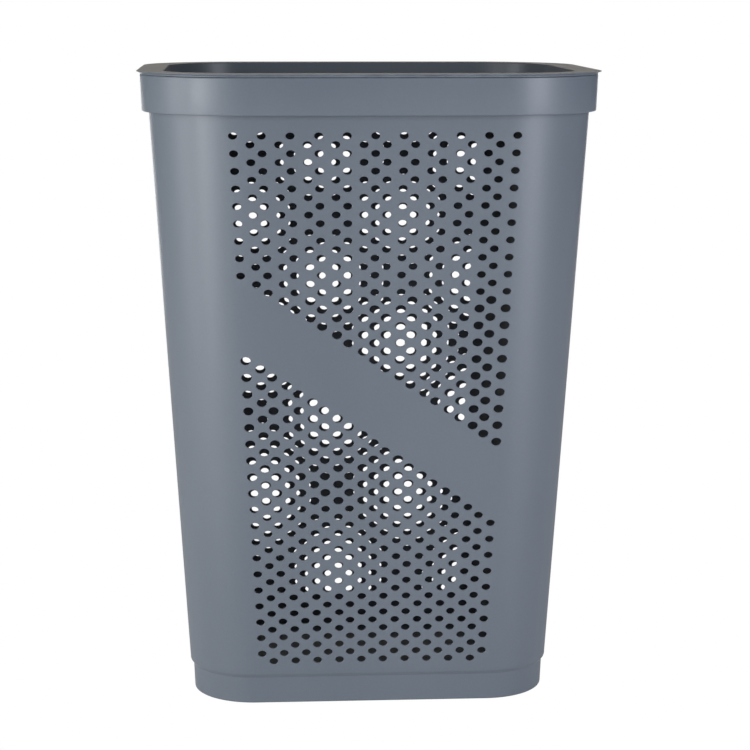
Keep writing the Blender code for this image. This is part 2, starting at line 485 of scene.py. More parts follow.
def corner_points(quarter, row, depth):
    """The corner's points at one row, between the panels on either side of it."""
    z = row_z(row)
    before = WALLS[quarter - 1]
    after = WALLS[quarter]
    start = mark_of(quarter - 1, cell_line(before.columns, row, before.columns), z, depth)
    end = mark_of(quarter, cell_line(0, row, after.columns), z, depth)
    points = []
    for step in range(1, CORNER_STEPS):
        mark = start + (end - start) * step / CORNER_STEPS
        points.append((mark, wall_point(mark, z, depth)))
    return points


def make_corners(skin, depth):
    """The four rounded corners, sewn to the edges of the panels beside them."""
    rows = range(-1, ROWS + 1)
    levels = range(-1, ROWS + 1, ROWS_PER_LEVEL)
    for quarter in range(4):
        grid = []
        for row in levels:
            grid.append([point for _, point in corner_points(quarter, row, depth)])
        for upper, lower in zip(grid, grid[1:]):
            skin.strip(upper, lower)
        before = WALLS[quarter - 1]
        edge = [before.grid(before.columns, row, depth) for row in rows]
        skin.zip_rows(edge, rows, [points[0] for points in grid], levels)
        edge = [WALLS[quarter].grid(0, row, depth) for row in rows]
        skin.zip_rows(edge, rows, [points[-1] for points in grid], levels)


def join_to_panels(skin, row, depth, arcs):
    """The level of the panels' top or bottom edge, joined to the next plain outline."""
    z = row_z(row)
    loop = []
    for side, wall in enumerate(WALLS):
        loop += corner_points(side, row, depth)
        for line in range(wall.columns + 1):
            mark = mark_of(side, cell_line(line, row, wall.columns), z, depth)
            loop.append((mark, wall.grid(line, row, depth)))
    skin.zip_loops(loop, marked(arcs), 4)


def stack(skin, levels):
    """Closed bands between plain outlines, one above another."""
    for lower, upper in zip(levels, levels[1:]):
        skin.strip(joined(lower), joined(upper), closed=True)


print("rows between corner levels", ROWS_PER_LEVEL)

# %% [markdown]
# ## Ears for the hinge
# Four lugs stand out of the band's back face. The face is left open at their roots, and each
# lug is sewn to the edges of its opening, so the tub stays one clean skin.
# `tessellate_polygon` fills a flat outline that has openings in it.

# %% Ear sizes and shapes
HINGE_SPACING = 0.200
BARREL_RADIUS = 0.005
BARREL_LENGTH = 0.018
EAR_THICKNESS = 0.004
SIDE_CLEARANCE = 0.0005
PIN_RADIUS = 0.002
BORE_RADIUS = PIN_RADIUS + GAP
ROUND_SIDES = 32
BAND_EDGE = 0.0012
BAND_LOW_EDGE = TUB_WALL / 2
HINGES = (("left", -HINGE_SPACING / 2), ("right", HINGE_SPACING / 2))
print("hinges at x", [round(centre, 3) for _, centre in HINGES])

# %% Filling a flat outline, and places round the hinge axis


def flat_fill(skin, loops):
    """A flat face bounded by the first loop, with the other loops left open."""
    points = [point for loop in loops for point in loop]
    for triangle in tessellate_polygon(loops):
        skin.face([points[index] for index in triangle])


def band_back(z):
    """How far back the band's outer face is at height z."""
    low = BAND_FOOT + BAND_LOW_EDGE
    high = RIM_TOP - BAND_EDGE
    return BAND_REAR - BAND_DRAFT * (high - z) / (high - low)


def round_axis(radius, start, end, steps):
    """Points (y, z) round the hinge axis, by angle in degrees; 0 points to the back."""
    return fillet((hinge_axis.y, hinge_axis.z), radius, start, end, steps)


print("band's back face leans in by", BAND_DRAFT, "m")

# %% Make one ear


def ear_outline():
    top = hinge_axis.z + BARREL_RADIUS
    bottom = hinge_axis.z - BARREL_RADIUS - AXIS_BEHIND_BAND
    nose = round_axis(BARREL_RADIUS, -45, 90, ROUND_SIDES // 2)
    return [(band_back(bottom), bottom)] + nose + [(band_back(top), top)]


def across_at(points, x):
    return [Vector((x, y, z)) for y, z in points]


def make_ear(skin, low_x, high_x):
    """One lug with its pin hole; returns its root, the outline cut from the band's face."""
    shape = ear_outline()
    bore = round_axis(BORE_RADIUS, 0, 360, ROUND_SIDES)[:-1]
    for x in (low_x, high_x):
        flat_fill(skin, [across_at(shape, x), across_at(bore, x)])
    skin.strip(across_at(shape, low_x), across_at(shape, high_x))
    skin.strip(across_at(bore, low_x), across_at(bore, high_x), closed=True)
    bottom, top = shape[0], shape[-1]
    low_side = across_at((bottom, top), low_x)
    high_side = across_at((bottom, top), high_x)
    return [low_side[0], high_side[0], high_side[1], low_side[1]]


def ear_spans():
    inside = BARREL_LENGTH / 2 + SIDE_CLEARANCE
    outside = inside + EAR_THICKNESS
    for _, centre in HINGES:
        yield centre - outside, centre - inside
        yield centre + inside, centre + outside


print("ears", len(list(ear_spans())), "at x", [round(low, 4) for low, _ in ear_spans()])

# %% [markdown]
# ## Building the tub
# The outside is followed from the ground up: foot, step, panels, then the underside of the rim
# and the inside of the band. From the band's lower edge the profile climbs the outside of the
# band, crosses the rim and goes down the inside of the wall to the floor. The steps are given
# as (share of the foot's inset, height).

# %% The tub's profile and its floor
FOOT_INSET = 0.003
FOOT_DRAFT = 0.001
FOOT_EDGE = 0.002
FOOT_RING_WIDTH = 0.014
FOOT_CHAMFER = (0.0008, 0.0006)
FOOT_STEP = ((1.0, 0.0255), (0.93, 0.0266), (0.5, 0.0281), (0.13, 0.0294), (0.0, WALL_FOOT))
INNER_STEP = ((0.0, WALL_FOOT + 0.002), (0.5, 0.0295), (1.0, 0.0268))
FLOOR_RAISE = 0.004
FLOOR_TOP = FLOOR_RAISE + TUB_WALL
FLOOR_FILLET = 0.004
RIM_UNDER = RIM_TOP - TUB_WALL
RIM_FILLET = 0.001
GATE_RINGS = ((0.046, 0.0), (0.0455, -0.0012), (0.0435, -0.0012), (0.043, 0.0))
GATE_MARK = ((0.007, 0.0), (0.0066, -0.0005), (0.0, -0.0005))
CIRCLE_SIDES = 72
print("floor inside at z", FLOOR_TOP, "underside raised by", FLOOR_RAISE)

# %% Levels of the foot, the rim and the mouth


def foot_levels():
    """Underside of the foot ring, its rounded outer edge and the soft step to the wall."""
    toe = -FOOT_INSET - FOOT_DRAFT
    heel = toe - FOOT_RING_WIDTH
    profile = [(heel - FLOOR_RAISE, FLOOR_RAISE)]
    profile += [(heel - FOOT_CHAMFER[0], FOOT_CHAMFER[1]), (heel, 0.0)]
    profile += fillet((toe - FOOT_EDGE, FOOT_EDGE), FOOT_EDGE, -90, 0, 4)
    profile += [(-FOOT_INSET * share, z) for share, z in FOOT_STEP]
    return [outline(FOOT_SECTION, grow, z) for grow, z in profile]


def rim_levels():
    """From the top of the panels up under the rim and down to the band's lower edge."""
    levels = []
    for grow, z in fillet((RIM_FILLET, RIM_UNDER - RIM_FILLET), RIM_FILLET, 180, 90, 3):
        levels.append(outline(wall_section(z), grow, z))
    inside = fillet((-TUB_WALL - RIM_FILLET, RIM_UNDER - RIM_FILLET), RIM_FILLET, 90, 0, 3)
    inside += [(-TUB_WALL - BAND_DRAFT, BAND_FOOT + BAND_LOW_EDGE)]
    centre = (-TUB_WALL / 2 - BAND_DRAFT, BAND_FOOT + BAND_LOW_EDGE)
    inside += fillet(centre, BAND_LOW_EDGE, 180, 360, 6)[1:]
    levels += [outline(RIM_SECTION, grow, z) for grow, z in inside]
    return levels


def mouth_levels():
    """From the top of the band's outer face over the rim and down to the panels' top."""
    profile = fillet((-BAND_EDGE, RIM_TOP - BAND_EDGE), BAND_EDGE, 0, 90, 4)
    levels = [outline(RIM_SECTION, grow, z) for grow, z in profile]
    centre = (-TUB_WALL + RIM_FILLET, RIM_TOP - RIM_FILLET)
    for grow, z in fillet(centre, RIM_FILLET, 90, 180, 4):
        levels.append(outline(wall_section(z), grow, z))
    return levels


print("levels", [len(levels()) for levels in (foot_levels, rim_levels, mouth_levels)])

# %% The floor, inside and underneath


def floor_levels():
    """Inside, from the panels' bottom edge over the step and down to the floor."""
    profile = [(-TUB_WALL - FOOT_INSET * share, z) for share, z in INNER_STEP]
    side = -TUB_WALL - FOOT_INSET - FOOT_DRAFT / 2
    corner = (side - FLOOR_FILLET, FLOOR_TOP + FLOOR_FILLET)
    profile += fillet(corner, FLOOR_FILLET, 0, -90, 4)
    return [outline(FOOT_SECTION, grow, z) for grow, z in profile]


def circle(radius, z):
    points = []
    for step in range(CIRCLE_SIDES):
        angle = 2 * math.pi * step / CIRCLE_SIDES
        points.append(Vector((radius * math.cos(angle), MIDDLE_Y + radius * math.sin(angle), z)))
    return points


def make_underside(skin, edge):
    """The raised floor seen from below: a stiffening ring and the mould's gate mark."""
    flat_fill(skin, [edge, circle(GATE_RINGS[0][0], FLOOR_RAISE)])
    profile = GATE_RINGS + GATE_MARK
    rings = [circle(radius, FLOOR_RAISE + drop) for radius, drop in profile[:-1]]
    for outer, inner in zip(rings, rings[1:]):
        skin.strip(outer, inner, closed=True)
    skin.face(rings[-1])


print("levels down to the floor", len(floor_levels()))

# %% [markdown]
# ## Sewing the tub together
# The patches are made in the order a finger would follow them: up the outside, over the rim,
# down the inside. `finish` counts open edges, and a closed skin has none.

# %% Build the tub


def make_band_face(skin, low, high):
    """The band's outer face; at the back it is filled round the roots of the ears."""
    for side in range(4):
        skin.strip(low[side], high[side])
    for side in range(1, 4):
        following = (side + 1) % 4
        skin.face((low[side][-1], low[following][0], high[following][0], high[side][-1]))
    face = [low[0][-1], low[1][0], high[1][0], high[0][-1]]
    roots = [make_ear(skin, low_x, high_x) for low_x, high_x in ear_spans()]
    flat_fill(skin, [face] + roots)


def make_tub():
    skin = Skin()
    holes = sum(make_panel(skin, wall) for wall in WALLS)
    for depth in (0.0, TUB_WALL):
        make_corners(skin, depth)
    foot = foot_levels()
    rim = rim_levels()
    mouth = mouth_levels()
    floor = floor_levels()
    make_underside(skin, joined(foot[0]))
    stack(skin, foot)
    join_to_panels(skin, ROWS, 0.0, foot[-1])
    join_to_panels(skin, -1, 0.0, rim[0])
    stack(skin, rim)
    make_band_face(skin, rim[-1], mouth[0])
    stack(skin, mouth)
    join_to_panels(skin, -1, TUB_WALL, mouth[-1])
    join_to_panels(skin, ROWS, TUB_WALL, floor[0])
    stack(skin, floor)
    skin.face(joined(floor[-1]))
    print("air holes", holes)
    return skin.finish("hamper_tub")


tub = make_tub()

# %% [markdown]
# ## The lid
# The lid is a dish: a sunken panel, a wall round it, a wide flange whose edge is a thin blade
# past the band, and under the blade a short skirt that stands flush on the rim. It is lofted
# like the tub, from one profile that goes out over the top and back underneath.

# %% Lid sizes and profile
LID_WALL = 0.0023
FLANGE_WIDTH = 0.026
DISH_DEPTH = 0.022
DISH_DRAFT = 0.004
LIP_FOOT_Z = RIM_TOP + GAP
LIP_ROOT = 0.0018
LIP_TIP = 0.0008
SKIRT_EDGE = 0.0003
DISH_FILLET = 0.006
MOUTH_FILLET = 0.0012
MOUTH_EASE = 0.0002
LID_OPENING = LIP_FLARE - FLANGE_WIDTH
PANEL_TOP = HEIGHT - DISH_DEPTH


def lid_top_profile():
    """(grow, z) from the middle of the panel out to the foot of the lip."""
    panel_edge = LID_OPENING - DISH_DRAFT
    profile = fillet((panel_edge - DISH_FILLET, PANEL_TOP + DISH_FILLET), DISH_FILLET, 270, 350, 6)
    mouth_centre = (LID_OPENING + MOUTH_FILLET, HEIGHT - MOUTH_FILLET)
    profile += fillet(mouth_centre, MOUTH_FILLET, 170, 90, 6)
    tip = LIP_TIP / 2
    profile += fillet((LIP_FLARE - tip, HEIGHT - tip), tip, 90, -90, 6)
    root_z = HEIGHT - LIP_ROOT
    profile += fillet((SKIRT_EDGE, root_z - SKIRT_EDGE), SKIRT_EDGE, 90, 180, 3)
    profile += fillet((-SKIRT_EDGE, LIP_FOOT_Z + SKIRT_EDGE), SKIRT_EDGE, 0, -90, 3)
    return profile


def lid_under_profile():
    """(grow, z) from the foot of the skirt back in under the flange and the panel."""
    under = HEIGHT - LID_WALL
    profile = [(-LID_WALL + SKIRT_EDGE, LIP_FOOT_Z), (-LID_WALL, LIP_FOOT_Z + SKIRT_EDGE)]
    profile += fillet((-LID_WALL - SKIRT_EDGE, under - SKIRT_EDGE), SKIRT_EDGE, 0, 90, 3)
    wall = LID_OPENING + LID_WALL
    profile += [(wall + MOUTH_FILLET, under), (wall + MOUTH_EASE, under - MOUTH_FILLET)]
    panel_edge = LID_OPENING - DISH_DRAFT
    centre = (panel_edge - DISH_FILLET, PANEL_TOP + DISH_FILLET)
    profile += fillet(centre, DISH_FILLET + LID_WALL, 350, 270, 6)
    return profile


def make_dish():
    skin = Skin()
    profile = lid_top_profile() + lid_under_profile()
    levels = [outline(RIM_SECTION, grow, z) for grow, z in profile]
    stack(skin, levels)
    skin.face(joined(levels[0]))
    skin.face(joined(levels[-1]))
    return skin.finish("hamper_lid")


print("lid opening", round(LID_OPENING, 4), "panel top at z", round(PANEL_TOP, 4))

# %% [markdown]
# ## Knuckles and heels
# A knuckle is the part of the lid that the pin goes through, and its heel is a short bar that
# meets the band when the lid is wide open. Both are plates with an outline seen from the side.
# Joining them with a Boolean keeps one clean mesh, where parts that only overlap would leave
# faces hidden inside. It is quick here, because the lid has no air holes.

# %% Outlines of the knuckle and the heel
OPEN_ANGLE = 105
HEEL_LENGTH = 0.0105
HEEL_WIDTH = 0.003
PLATE_BEVEL = 0.0003


def knuckle_outline():
    low = RIM_TOP + 2 * GAP
    high = HEIGHT - 2 * GAP
    root = BAND_REAR - LID_WALL / 2
    arm = [(BAND_REAR + LIP_FLARE / 2, high), (root, high), (root, low)]
    arm += [(hinge_axis.y - BARREL_RADIUS, low)]
    return arm + round_axis(BARREL_RADIUS, 180, 405, ROUND_SIDES * 5 // 8)


def heel_outline():
    """A bar from the barrel whose tip meets the band when the lid stands fully open."""
    half_width = HEEL_WIDTH / 2
    reach = AXIS_BEHIND_BAND - GAP
    lead = math.acos(reach / math.hypot(HEEL_LENGTH, half_width))
    lead += math.atan2(half_width, HEEL_LENGTH)
    angle = math.radians(OPEN_ANGLE - 180) + lead
    along = Vector((math.cos(angle), math.sin(angle)))
    side = Vector((-along.y, along.x)) * half_width
    centre = Vector((hinge_axis.y, hinge_axis.z))
    inner = centre + along * (PIN_RADIUS + BARREL_RADIUS) / 2
    tip = centre + along * HEEL_LENGTH
    return [tuple(corner) for corner in (inner - side, tip - side, tip + side, inner + side)]


print("the heel stops the lid at", OPEN_ANGLE, "degrees")

# %% Plates and Booleans


def plate(name, shape, low_x, high_x, bevel=0.0):
    """A flat plate across X, from an outline of (y, z) points."""
    skin = Skin()
    low = across_at(shape, low_x)
    high = across_at(shape, high_x)
    skin.strip(low, high, closed=True)
    skin.face(low)
    skin.face(high)
    obj = skin.finish(name)
    if bevel:
        rounding = obj.modifiers.new("rounding", "BEVEL")
        rounding.width = bevel
        rounding.segments = 2
        rounding.angle_limit = math.radians(40)
    return obj


def combine(obj, other, operation):
    """Joins or cuts with another object, keeps the result as a plain mesh, drops the other."""
    modifier = obj.modifiers.new(other.name, "BOOLEAN")
    modifier.operation = operation
    modifier.object = other
    modifier.solver = "EXACT"
    bpy.context.view_layer.update()
    graph = bpy.context.evaluated_depsgraph_get()
    mesh = bpy.data.meshes.new_from_object(obj.evaluated_get(graph))
    print(operation, other.name, "leaves", len(mesh.vertices), "points")
    obj.modifiers.clear()
    obj.data = mesh
    bpy.data.objects.remove(other)


print("plates are rounded by", PLATE_BEVEL, "m")

# %% Build the lid


def make_lid():
    lid = make_dish()
    half = BARREL_LENGTH / 2
    bore = round_axis(BORE_RADIUS, 0, 360, ROUND_SIDES)[:-1]
    for label, centre in HINGES:
        low_x = centre - half
        high_x = centre + half
        for part, shape in (("knuckle", knuckle_outline()), ("heel", heel_outline())):
            solid = plate(f"{part}_{label}", shape, low_x, high_x, PLATE_BEVEL)
            combine(lid, solid, "UNION")
        cutter = plate(f"bore_{label}", bore, centre - BARREL_LENGTH, centre + BARREL_LENGTH)
        combine(lid, cutter, "DIFFERENCE")
    lid.data.shade_smooth()
    lid.data.set_sharp_from_angle(angle=math.radians(SHARP_DEGREES))
    return lid


lid = make_lid()
print("lid vertices", len(lid.data.vertices))

# %% [markdown]
# ## The hinge pins
# Each pin is a round push-in pin with a domed head on its outer side and a tapered tail. A
# turned piece is a short profile carried round an axis, so it is lofted from rings.

# %% Turned pins
PIN_HEAD_RADIUS = 0.0036
PIN_HEAD_LENGTH = 0.002
PIN_TAIL = 0.001
PIN_EDGE = 0.0005


def pin_profile():
    """(distance outwards from the hinge's middle, radius), tail to head."""
    half = BARREL_LENGTH / 2 + SIDE_CLEARANCE + EAR_THICKNESS
    shoulder = half + GAP
    head = shoulder + PIN_HEAD_LENGTH
    return (
        (-half - PIN_TAIL, PIN_RADIUS - PIN_EDGE),
        (-half - PIN_TAIL + PIN_EDGE, PIN_RADIUS),
        (shoulder, PIN_RADIUS),
        (shoulder, PIN_HEAD_RADIUS - PIN_EDGE / 2),
        (shoulder + PIN_EDGE / 2, PIN_HEAD_RADIUS),
        (head - PIN_EDGE * 1.6, PIN_HEAD_RADIUS),
        (head - PIN_EDGE * 0.5, PIN_HEAD_RADIUS - PIN_EDGE * 0.7),
        (head, PIN_HEAD_RADIUS - PIN_EDGE * 2),
    )


def make_pin(label, centre):
    skin = Skin()
    outward = math.copysign(1.0, centre)
    rings = []
    for distance, radius in pin_profile():
        ring = round_axis(radius, 0, 360, ROUND_SIDES)[:-1]
        rings.append(across_at(ring, centre + outward * distance))
    for low, high in zip(rings, rings[1:]):
        skin.strip(low, high, closed=True)
    skin.face(rings[0])
    skin.face(rings[-1])
    return skin.finish(f"hinge_pin_{label}_detail")


pins = {label: make_pin(label, centre) for label, centre in HINGES}

# %% [markdown]
# ## Moulded plastic
# Polypropylene from a spark-eroded mould is satin: a very fine grain breaks up the gloss, the
# colour drifts a little, edges that rub get slightly paler, and dust settles on top. One flat
# colour would look like paint. Each effect is a node group with its own inputs, made once, so
# the tub, the lid and the pins can share it at different strengths.

# %% Helpers for nodes and groups
GROUPS = {}
PLACE = ("Vector", "Vector", (0, 0, 0))
AMOUNT = ("Amount", "Float", 0.5)
FACING = ("Normal", "Vector", (0, 0, 1))


def feed(tree, socket, value):
    """Links another socket to this one, or sets a plain value on it."""
    if isinstance(value, bpy.types.NodeSocket):
        tree.links.new(value, socket)
    else:
        socket.default_value = value


def new_group(name, inputs, outputs):
    """An empty group; inputs are (name, kind, default) and outputs are (name, kind)."""
    group = bpy.data.node_groups.new(name, "ShaderNodeTree")
    for label, kind, default in inputs:
        socket = group.interface.new_socket(label, in_out="INPUT", socket_type="NodeSocket" + kind)
        socket.default_value = default
    for label, kind in outputs:
        group.interface.new_socket(label, in_out="OUTPUT", socket_type="NodeSocket" + kind)
    given = group.nodes.new("NodeGroupInput").outputs
    made = group.nodes.new("NodeGroupOutput").inputs
    return group, given, made


def keep(key, group):
    """Files a finished group under a short name and prints its sockets."""
    GROUPS[key] = group
    print(group.name, [item.name for item in group.interface.items_tree])


def math_node(tree, operation, first, second):
    node = tree.nodes.new("ShaderNodeMath")
    node.operation = operation
    feed(tree, node.inputs[0], first)
    feed(tree, node.inputs[1], second)
    return node.outputs[0]


def times(tree, first, second):
    return math_node(tree, "MULTIPLY", first, second)


def noise_node(tree, vector, scale, detail, roughness=0.5):
    node = tree.nodes.new("ShaderNodeTexNoise")
    settings = {"Vector": vector, "Scale": scale, "Detail": detail, "Roughness": roughness}
    for name, value in settings.items():
        feed(tree, node.inputs[name], value)
    return node.outputs["Fac"]


def spread(tree, value, low, high, new_low, new_high):
    """Maps one range onto another."""
    node = tree.nodes.new("ShaderNodeMapRange")
    names = ("Value", "From Min", "From Max", "To Min", "To Max")
    for name, number in zip(names, (value, low, high, new_low, new_high)):
        feed(tree, node.inputs[name], number)
    return node.outputs["Result"]


def blend_colours(tree, amount, first, second):
    node = tree.nodes.new("ShaderNodeMix")
    node.data_type = "RGBA"
    ends = [socket for socket in node.inputs if socket.type == "RGBA"]
    feed(tree, node.inputs["Factor"], amount)
    feed(tree, ends[0], first)
    feed(tree, ends[1], second)
    return next(socket for socket in node.outputs if socket.type == "RGBA")


print("node helpers", [helper.__name__ for helper in (math_node, noise_node, spread)])

# %% [markdown]
# ## Mould grain
# The mould's face is etched, and the plastic copies it: a fine grain over a slow waviness
# where the plastic sank as it cooled. It is a height, for the Bump node of each material.

# %% Mould grain
COARSE_SHARE = 0.27
COARSE_HEIGHT = 0.6
SINK_SCALE = 14.0
SINK_HEIGHT = 2.0


def mould_grain_group():
    """Height of the fine texture that the mould leaves, with a faint longer waviness."""
    inputs = (PLACE, ("Fineness", "Float", 1400.0))
    group, given, made = new_group("mould grain", inputs, (("Height", "Float"),))
    coarse_scale = times(group, given["Fineness"], COARSE_SHARE)
    height = noise_node(group, given["Vector"], given["Fineness"], 2.0, 0.6)
    for scale, weight in ((coarse_scale, COARSE_HEIGHT), (SINK_SCALE, SINK_HEIGHT)):
        noise = noise_node(group, given["Vector"], scale, 1.0)
        height = math_node(group, "ADD", height, times(group, noise, weight))
    feed(group, made["Height"], height)
    return group


keep("grain", mould_grain_group())

# %% [markdown]
# ## Flow tone
# Plastic streams into the mould from one gate, and the pigment streaks faintly on the way.
# Two close tones and a stretched noise give that better than one colour.

# %% Flow tone
STREAK_STRETCH = 0.35
SPECK_SCALE = 420.0
SPECK_SHARE = 0.25
DRIFT_RANGE = (0.45, 0.80)


def flow_tone_group():
    """A slow drift between two tones, stretched along the way the plastic flowed."""
    inputs = (
        PLACE,
        ("Tone A", "Color", (0.1, 0.1, 0.1, 1)),
        ("Tone B", "Color", (0.2, 0.2, 0.2, 1)),
        ("Scale", "Float", 6.0),
    )
    group, given, made = new_group("flow tone", inputs, (("Color", "Color"), ("Drift", "Float")))
    squeeze = group.nodes.new("ShaderNodeMapping")
    feed(group, squeeze.inputs["Scale"], (1.0, 1.0, STREAK_STRETCH))
    feed(group, squeeze.inputs["Vector"], given["Vector"])
    clouds = noise_node(group, squeeze.outputs["Vector"], given["Scale"], 3.0)
    specks = noise_node(group, given["Vector"], SPECK_SCALE, 1.0)
    mixed = math_node(group, "ADD", clouds, times(group, specks, SPECK_SHARE))
    drift = spread(group, mixed, *DRIFT_RANGE, 0.0, 1.0)
    feed(group, made["Color"], blend_colours(group, drift, given["Tone A"], given["Tone B"]))
    feed(group, made["Drift"], drift)
    return group


keep("tone", flow_tone_group())

# %% [markdown]
# ## Edge wear
# Outward corners get rubbed paler. `Pointiness` finds them from the shape of the mesh, so
# nothing has to be painted by hand.

# %% Edge wear
WORN_CORNERS = (0.52, 0.62)
RUB_SCALE = 55.0
RUB_RANGE = (0.35, 0.65)


def edge_wear_group():
    """A mask on outward corners, broken up so that the rubbing looks uneven."""
    group, given, made = new_group("edge wear", (PLACE, AMOUNT), (("Mask", "Float"),))
    geometry = group.nodes.new("ShaderNodeNewGeometry")
    corner = spread(group, geometry.outputs["Pointiness"], *WORN_CORNERS, 0.0, 1.0)
    rubs = noise_node(group, given["Vector"], RUB_SCALE, 4.0, 0.65)
    mask = times(group, corner, spread(group, rubs, *RUB_RANGE, 0.2, 1.0))
    feed(group, made["Mask"], times(group, mask, given["Amount"]))
    return group


keep("wear", edge_wear_group())

# %% [markdown]
# ## Dust
# Dust lies on faces that look up. The normal in the piece's own directions finds them, so the
# dust turns with the lid when it opens.

# %% Settled dust
LOOKS_UP = (0.6, 1.0)
CLUMP_SCALE = 38.0
CLUMP_RANGE = (0.3, 0.75)


def settled_dust_group():
    """A thin film on faces that look up, in the piece's own directions."""
    group, given, made = new_group("settled dust", (PLACE, FACING, AMOUNT), (("Mask", "Float"),))
    split = group.nodes.new("ShaderNodeSeparateXYZ")
    feed(group, split.inputs["Vector"], given["Normal"])
    facing = spread(group, split.outputs["Z"], *LOOKS_UP, 0.0, 1.0)
    clumps = noise_node(group, given["Vector"], CLUMP_SCALE, 5.0, 0.7)
    mask = times(group, facing, spread(group, clumps, *CLUMP_RANGE, 0.35, 1.0))
    feed(group, made["Mask"], times(group, mask, given["Amount"]))
    return group


keep("dust", settled_dust_group())

# %% [markdown]
# ## Shade on the inner side
# A real moulding is one colour throughout, but the inside of the hamper looks nearly black
# through its holes. Here it came out too pale, so faces that look inwards are given a darker
# tone: painted shade standing in for the deep shade inside the tub and in the lid's dish. It is
# no property of the plastic.

# %% Inner side
LOOKS_IN = (-0.1, -0.45)


def vector_node(tree, operation, *values):
    node = tree.nodes.new("ShaderNodeVectorMath")
    node.operation = operation
    for socket, value in zip(node.inputs, values):
        feed(tree, socket, value)
    return node.outputs


def painted_inner_shade_group():
    """A mask of painted shade on faces that look towards the hamper's upright middle line."""
    group, given, made = new_group("inner side", (PLACE, FACING, AMOUNT), (("Mask", "Float"),))
    away = vector_node(group, "SUBTRACT", given["Vector"], (0, MIDDLE_Y, 0))["Vector"]
    level = vector_node(group, "MULTIPLY", away, (1, 1, 0))["Vector"]
    unit = vector_node(group, "NORMALIZE", level)["Vector"]
    facing = vector_node(group, "DOT_PRODUCT", unit, given["Normal"])["Value"]
    inward = spread(group, facing, *LOOKS_IN, 0.0, 1.0)
    feed(group, made["Mask"], times(group, inward, given["Amount"]))
    return group


keep("inner", painted_inner_shade_group())

# %% [markdown]
# ## The three plastics
# One function wires the effects into a Principled BSDF, and each piece then gets its own
# tones, gloss and depth of grain. Polypropylene's index of refraction is 1.49. It is the same
# everywhere, so it is set on the shader itself.

# %% One plastic
WORN = (0.30, 0.33, 0.37, 1.0)
DUST = (0.36, 0.35, 0.33, 1.0)
# The next tone is painted shade, blended onto faces that look inwards; it is no colour of the
# plastic.
PAINTED_INNER_SHADE = (0.026, 0.029, 0.034, 1.0)
TONE_SCALE = 5.0
DUST_ROUGHNESS = 0.5
POLYPROPYLENE_IOR = 1.49


def place_group(tree, key, **values):
    node = tree.nodes.new("ShaderNodeGroup")
    node.node_tree = GROUPS[key]
    for name, value in values.items():
        feed(tree, node.inputs[name.replace("_", " ")], value)
    return node.outputs


def make_plastic(name, tones, gloss, grain_depth, fineness, wear, dust, shade):
    """Satin polypropylene; gloss is the (lowest, highest) roughness."""
    material = bpy.data.materials.new(name)
    material.use_nodes = True
    tree = material.node_tree
    shader = tree.nodes["Principled BSDF"]
    place = tree.nodes.new("ShaderNodeTexCoord")
    at = {"Vector": place.outputs["Object"]}
    facing = {"Normal": place.outputs["Normal"], **at}
    tone = place_group(tree, "tone", Tone_A=tones[0], Tone_B=tones[1], Scale=TONE_SCALE, **at)
    film = place_group(tree, "dust", Amount=dust, **facing)["Mask"]
    colour = tone["Color"]
    for mask, over in (
        (place_group(tree, "wear", Amount=wear, **at)["Mask"], WORN),
        (film, DUST),
        # painted shade on faces that look inwards, not a colour of the plastic
        (place_group(tree, "inner", Amount=shade, **facing)["Mask"], PAINTED_INNER_SHADE),
    ):
        colour = blend_colours(tree, mask, colour, over)
    feed(tree, shader.inputs["Base Color"], colour)
    rough = spread(tree, tone["Drift"], 0.0, 1.0, *gloss)
    rough = math_node(tree, "ADD", rough, times(tree, film, DUST_ROUGHNESS))
    feed(tree, shader.inputs["Roughness"], rough)
    bump = tree.nodes.new("ShaderNodeBump")
    bump.inputs["Strength"].default_value = 1.0
    bump.inputs["Distance"].default_value = grain_depth
    grain = place_group(tree, "grain", Fineness=fineness, **at)
    feed(tree, bump.inputs["Height"], grain["Height"])
    feed(tree, shader.inputs["Normal"], bump.outputs["Normal"])
    shader.inputs["IOR"].default_value = POLYPROPYLENE_IOR
    return material


print("tone of the shaded inside", PAINTED_INNER_SHADE[:3])

# %% The plastics of the tub, the lid and the pins
# Each shade below is the strength of the painted shade on faces that look inwards.
tub_plastic = make_plastic(
    "tub plastic",
    ((0.118, 0.140, 0.170, 1.0), (0.134, 0.156, 0.186, 1.0)),
    gloss=(0.35, 0.41), grain_depth=0.00003, fineness=1300.0, wear=0.35, dust=0.05, shade=0.65,
)
lid_plastic = make_plastic(
    "lid plastic",
    ((0.112, 0.134, 0.162, 1.0), (0.128, 0.148, 0.176, 1.0)),
    gloss=(0.34, 0.42), grain_depth=0.00002, fineness=1500.0, wear=0.35, dust=0.15, shade=0.34,
)
pin_plastic = make_plastic(
    "pin plastic",
    ((0.104, 0.124, 0.150, 1.0), (0.116, 0.136, 0.162, 1.0)),
    gloss=(0.28, 0.36), grain_depth=0.00001, fineness=1800.0, wear=0.30, dust=0.05, shade=0.0,
)
print("plastics", tub_plastic.name, lid_plastic.name, pin_plastic.name)

# %% [markdown]
# ## Hanging the pieces on the frame
# Each piece is tied to the body that moves it, the plain solid that it stands for is hidden,
# and the piece is given its plastic.

# %% Tie each piece to its body, hide its solid and give it its plastic


def dress(piece, body, node, material):
    piece.data.materials.clear()
    piece.data.materials.append(material)
    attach(piece, body)
    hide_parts(node)


dress(tub, "tub", "tub", tub_plastic)
dress(lid, "lid", "lid", lid_plastic)
for side, pin in pins.items():
    dress(pin, "tub", f"hinge_pin_{side}", pin_plastic)

# %% [markdown]
# ## Studio
# A white backdrop in a dim room. Tall soft boxes on the left and the right draw the long
# highlights down the rounded corners and leave the flat front and the inside darker; the inside
# is darkened further by painted shade in the plastic. A small low box on each side lights the
# foot. Behind, a wide high one lights the lid's flange, and a long low one shines in through the
# holes of the back.

